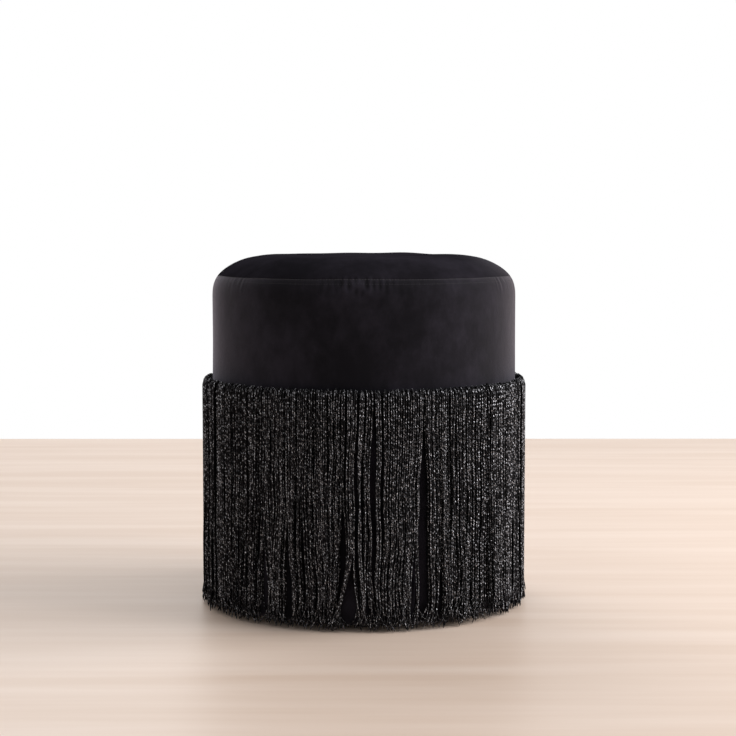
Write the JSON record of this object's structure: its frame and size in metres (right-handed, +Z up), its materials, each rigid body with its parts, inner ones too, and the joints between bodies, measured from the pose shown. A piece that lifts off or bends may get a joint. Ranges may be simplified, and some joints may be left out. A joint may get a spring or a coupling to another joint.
{
  "type": "fringed tuffet",
  "caption": "Round padded tuffet in black velvet, with a domed seat over a boarded drum and a deep black and silver fringe from mid height to the floor.",
  "frame": {"origin": "on the floor, under the middle of the seat", "axes": "+Z up through the middle of the seat; the side in the picture faces -Y"},
  "size_m": [0.373, 0.373, 0.4],
  "materials": {
    "velvet": "matte",
    "fringe": "satin",
    "wadding": "matte",
    "foam": "matte",
    "hardboard": "matte",
    "plywood": "matte",
    "pine": "matte",
    "dust_cover": "matte",
    "glide_plastic": "satin",
    "steel": "satin"
  },
  "bodies": {
    "root": {"base_board": "plywood", "top_board": "plywood", "drum_wall": "hardboard", "frame_strut_1": "pine", "frame_strut_2": "pine", "frame_strut_3": "pine", "frame_strut_4": "pine", "top_screw_1": "steel", "top_screw_2": "steel", "top_screw_3": "steel", "top_screw_4": "steel", "base_screw_1": "steel", "base_screw_2": "steel", "base_screw_3": "steel", "base_screw_4": "steel", "side_foam": "foam", "seat_foam": "foam", "seat_wadding": "wadding", "seat_cover": "velvet", "side_cover": "velvet", "dust_cover": "dust_cover", "cover_staple_1": "steel", "cover_staple_2": "steel", "cover_staple_3": "steel", "cover_staple_4": "steel", "cover_staple_5": "steel", "cover_staple_6": "steel", "cover_staple_7": "steel", "cover_staple_8": "steel", "cover_staple_9": "steel", "cover_staple_10": "steel", "cover_staple_11": "steel", "cover_staple_12": "steel", "floor_glide_1": "glide_plastic", "floor_glide_2": "glide_plastic", "floor_glide_3": "glide_plastic", "floor_glide_4": "glide_plastic", "glide_nail_1": "steel", "glide_nail_2": "steel", "glide_nail_3": "steel", "glide_nail_4": "steel", "fringe_front": "fringe", "fringe_right": "fringe", "fringe_back": "fringe", "fringe_left": "fringe"}
  },
  "joints": []
}
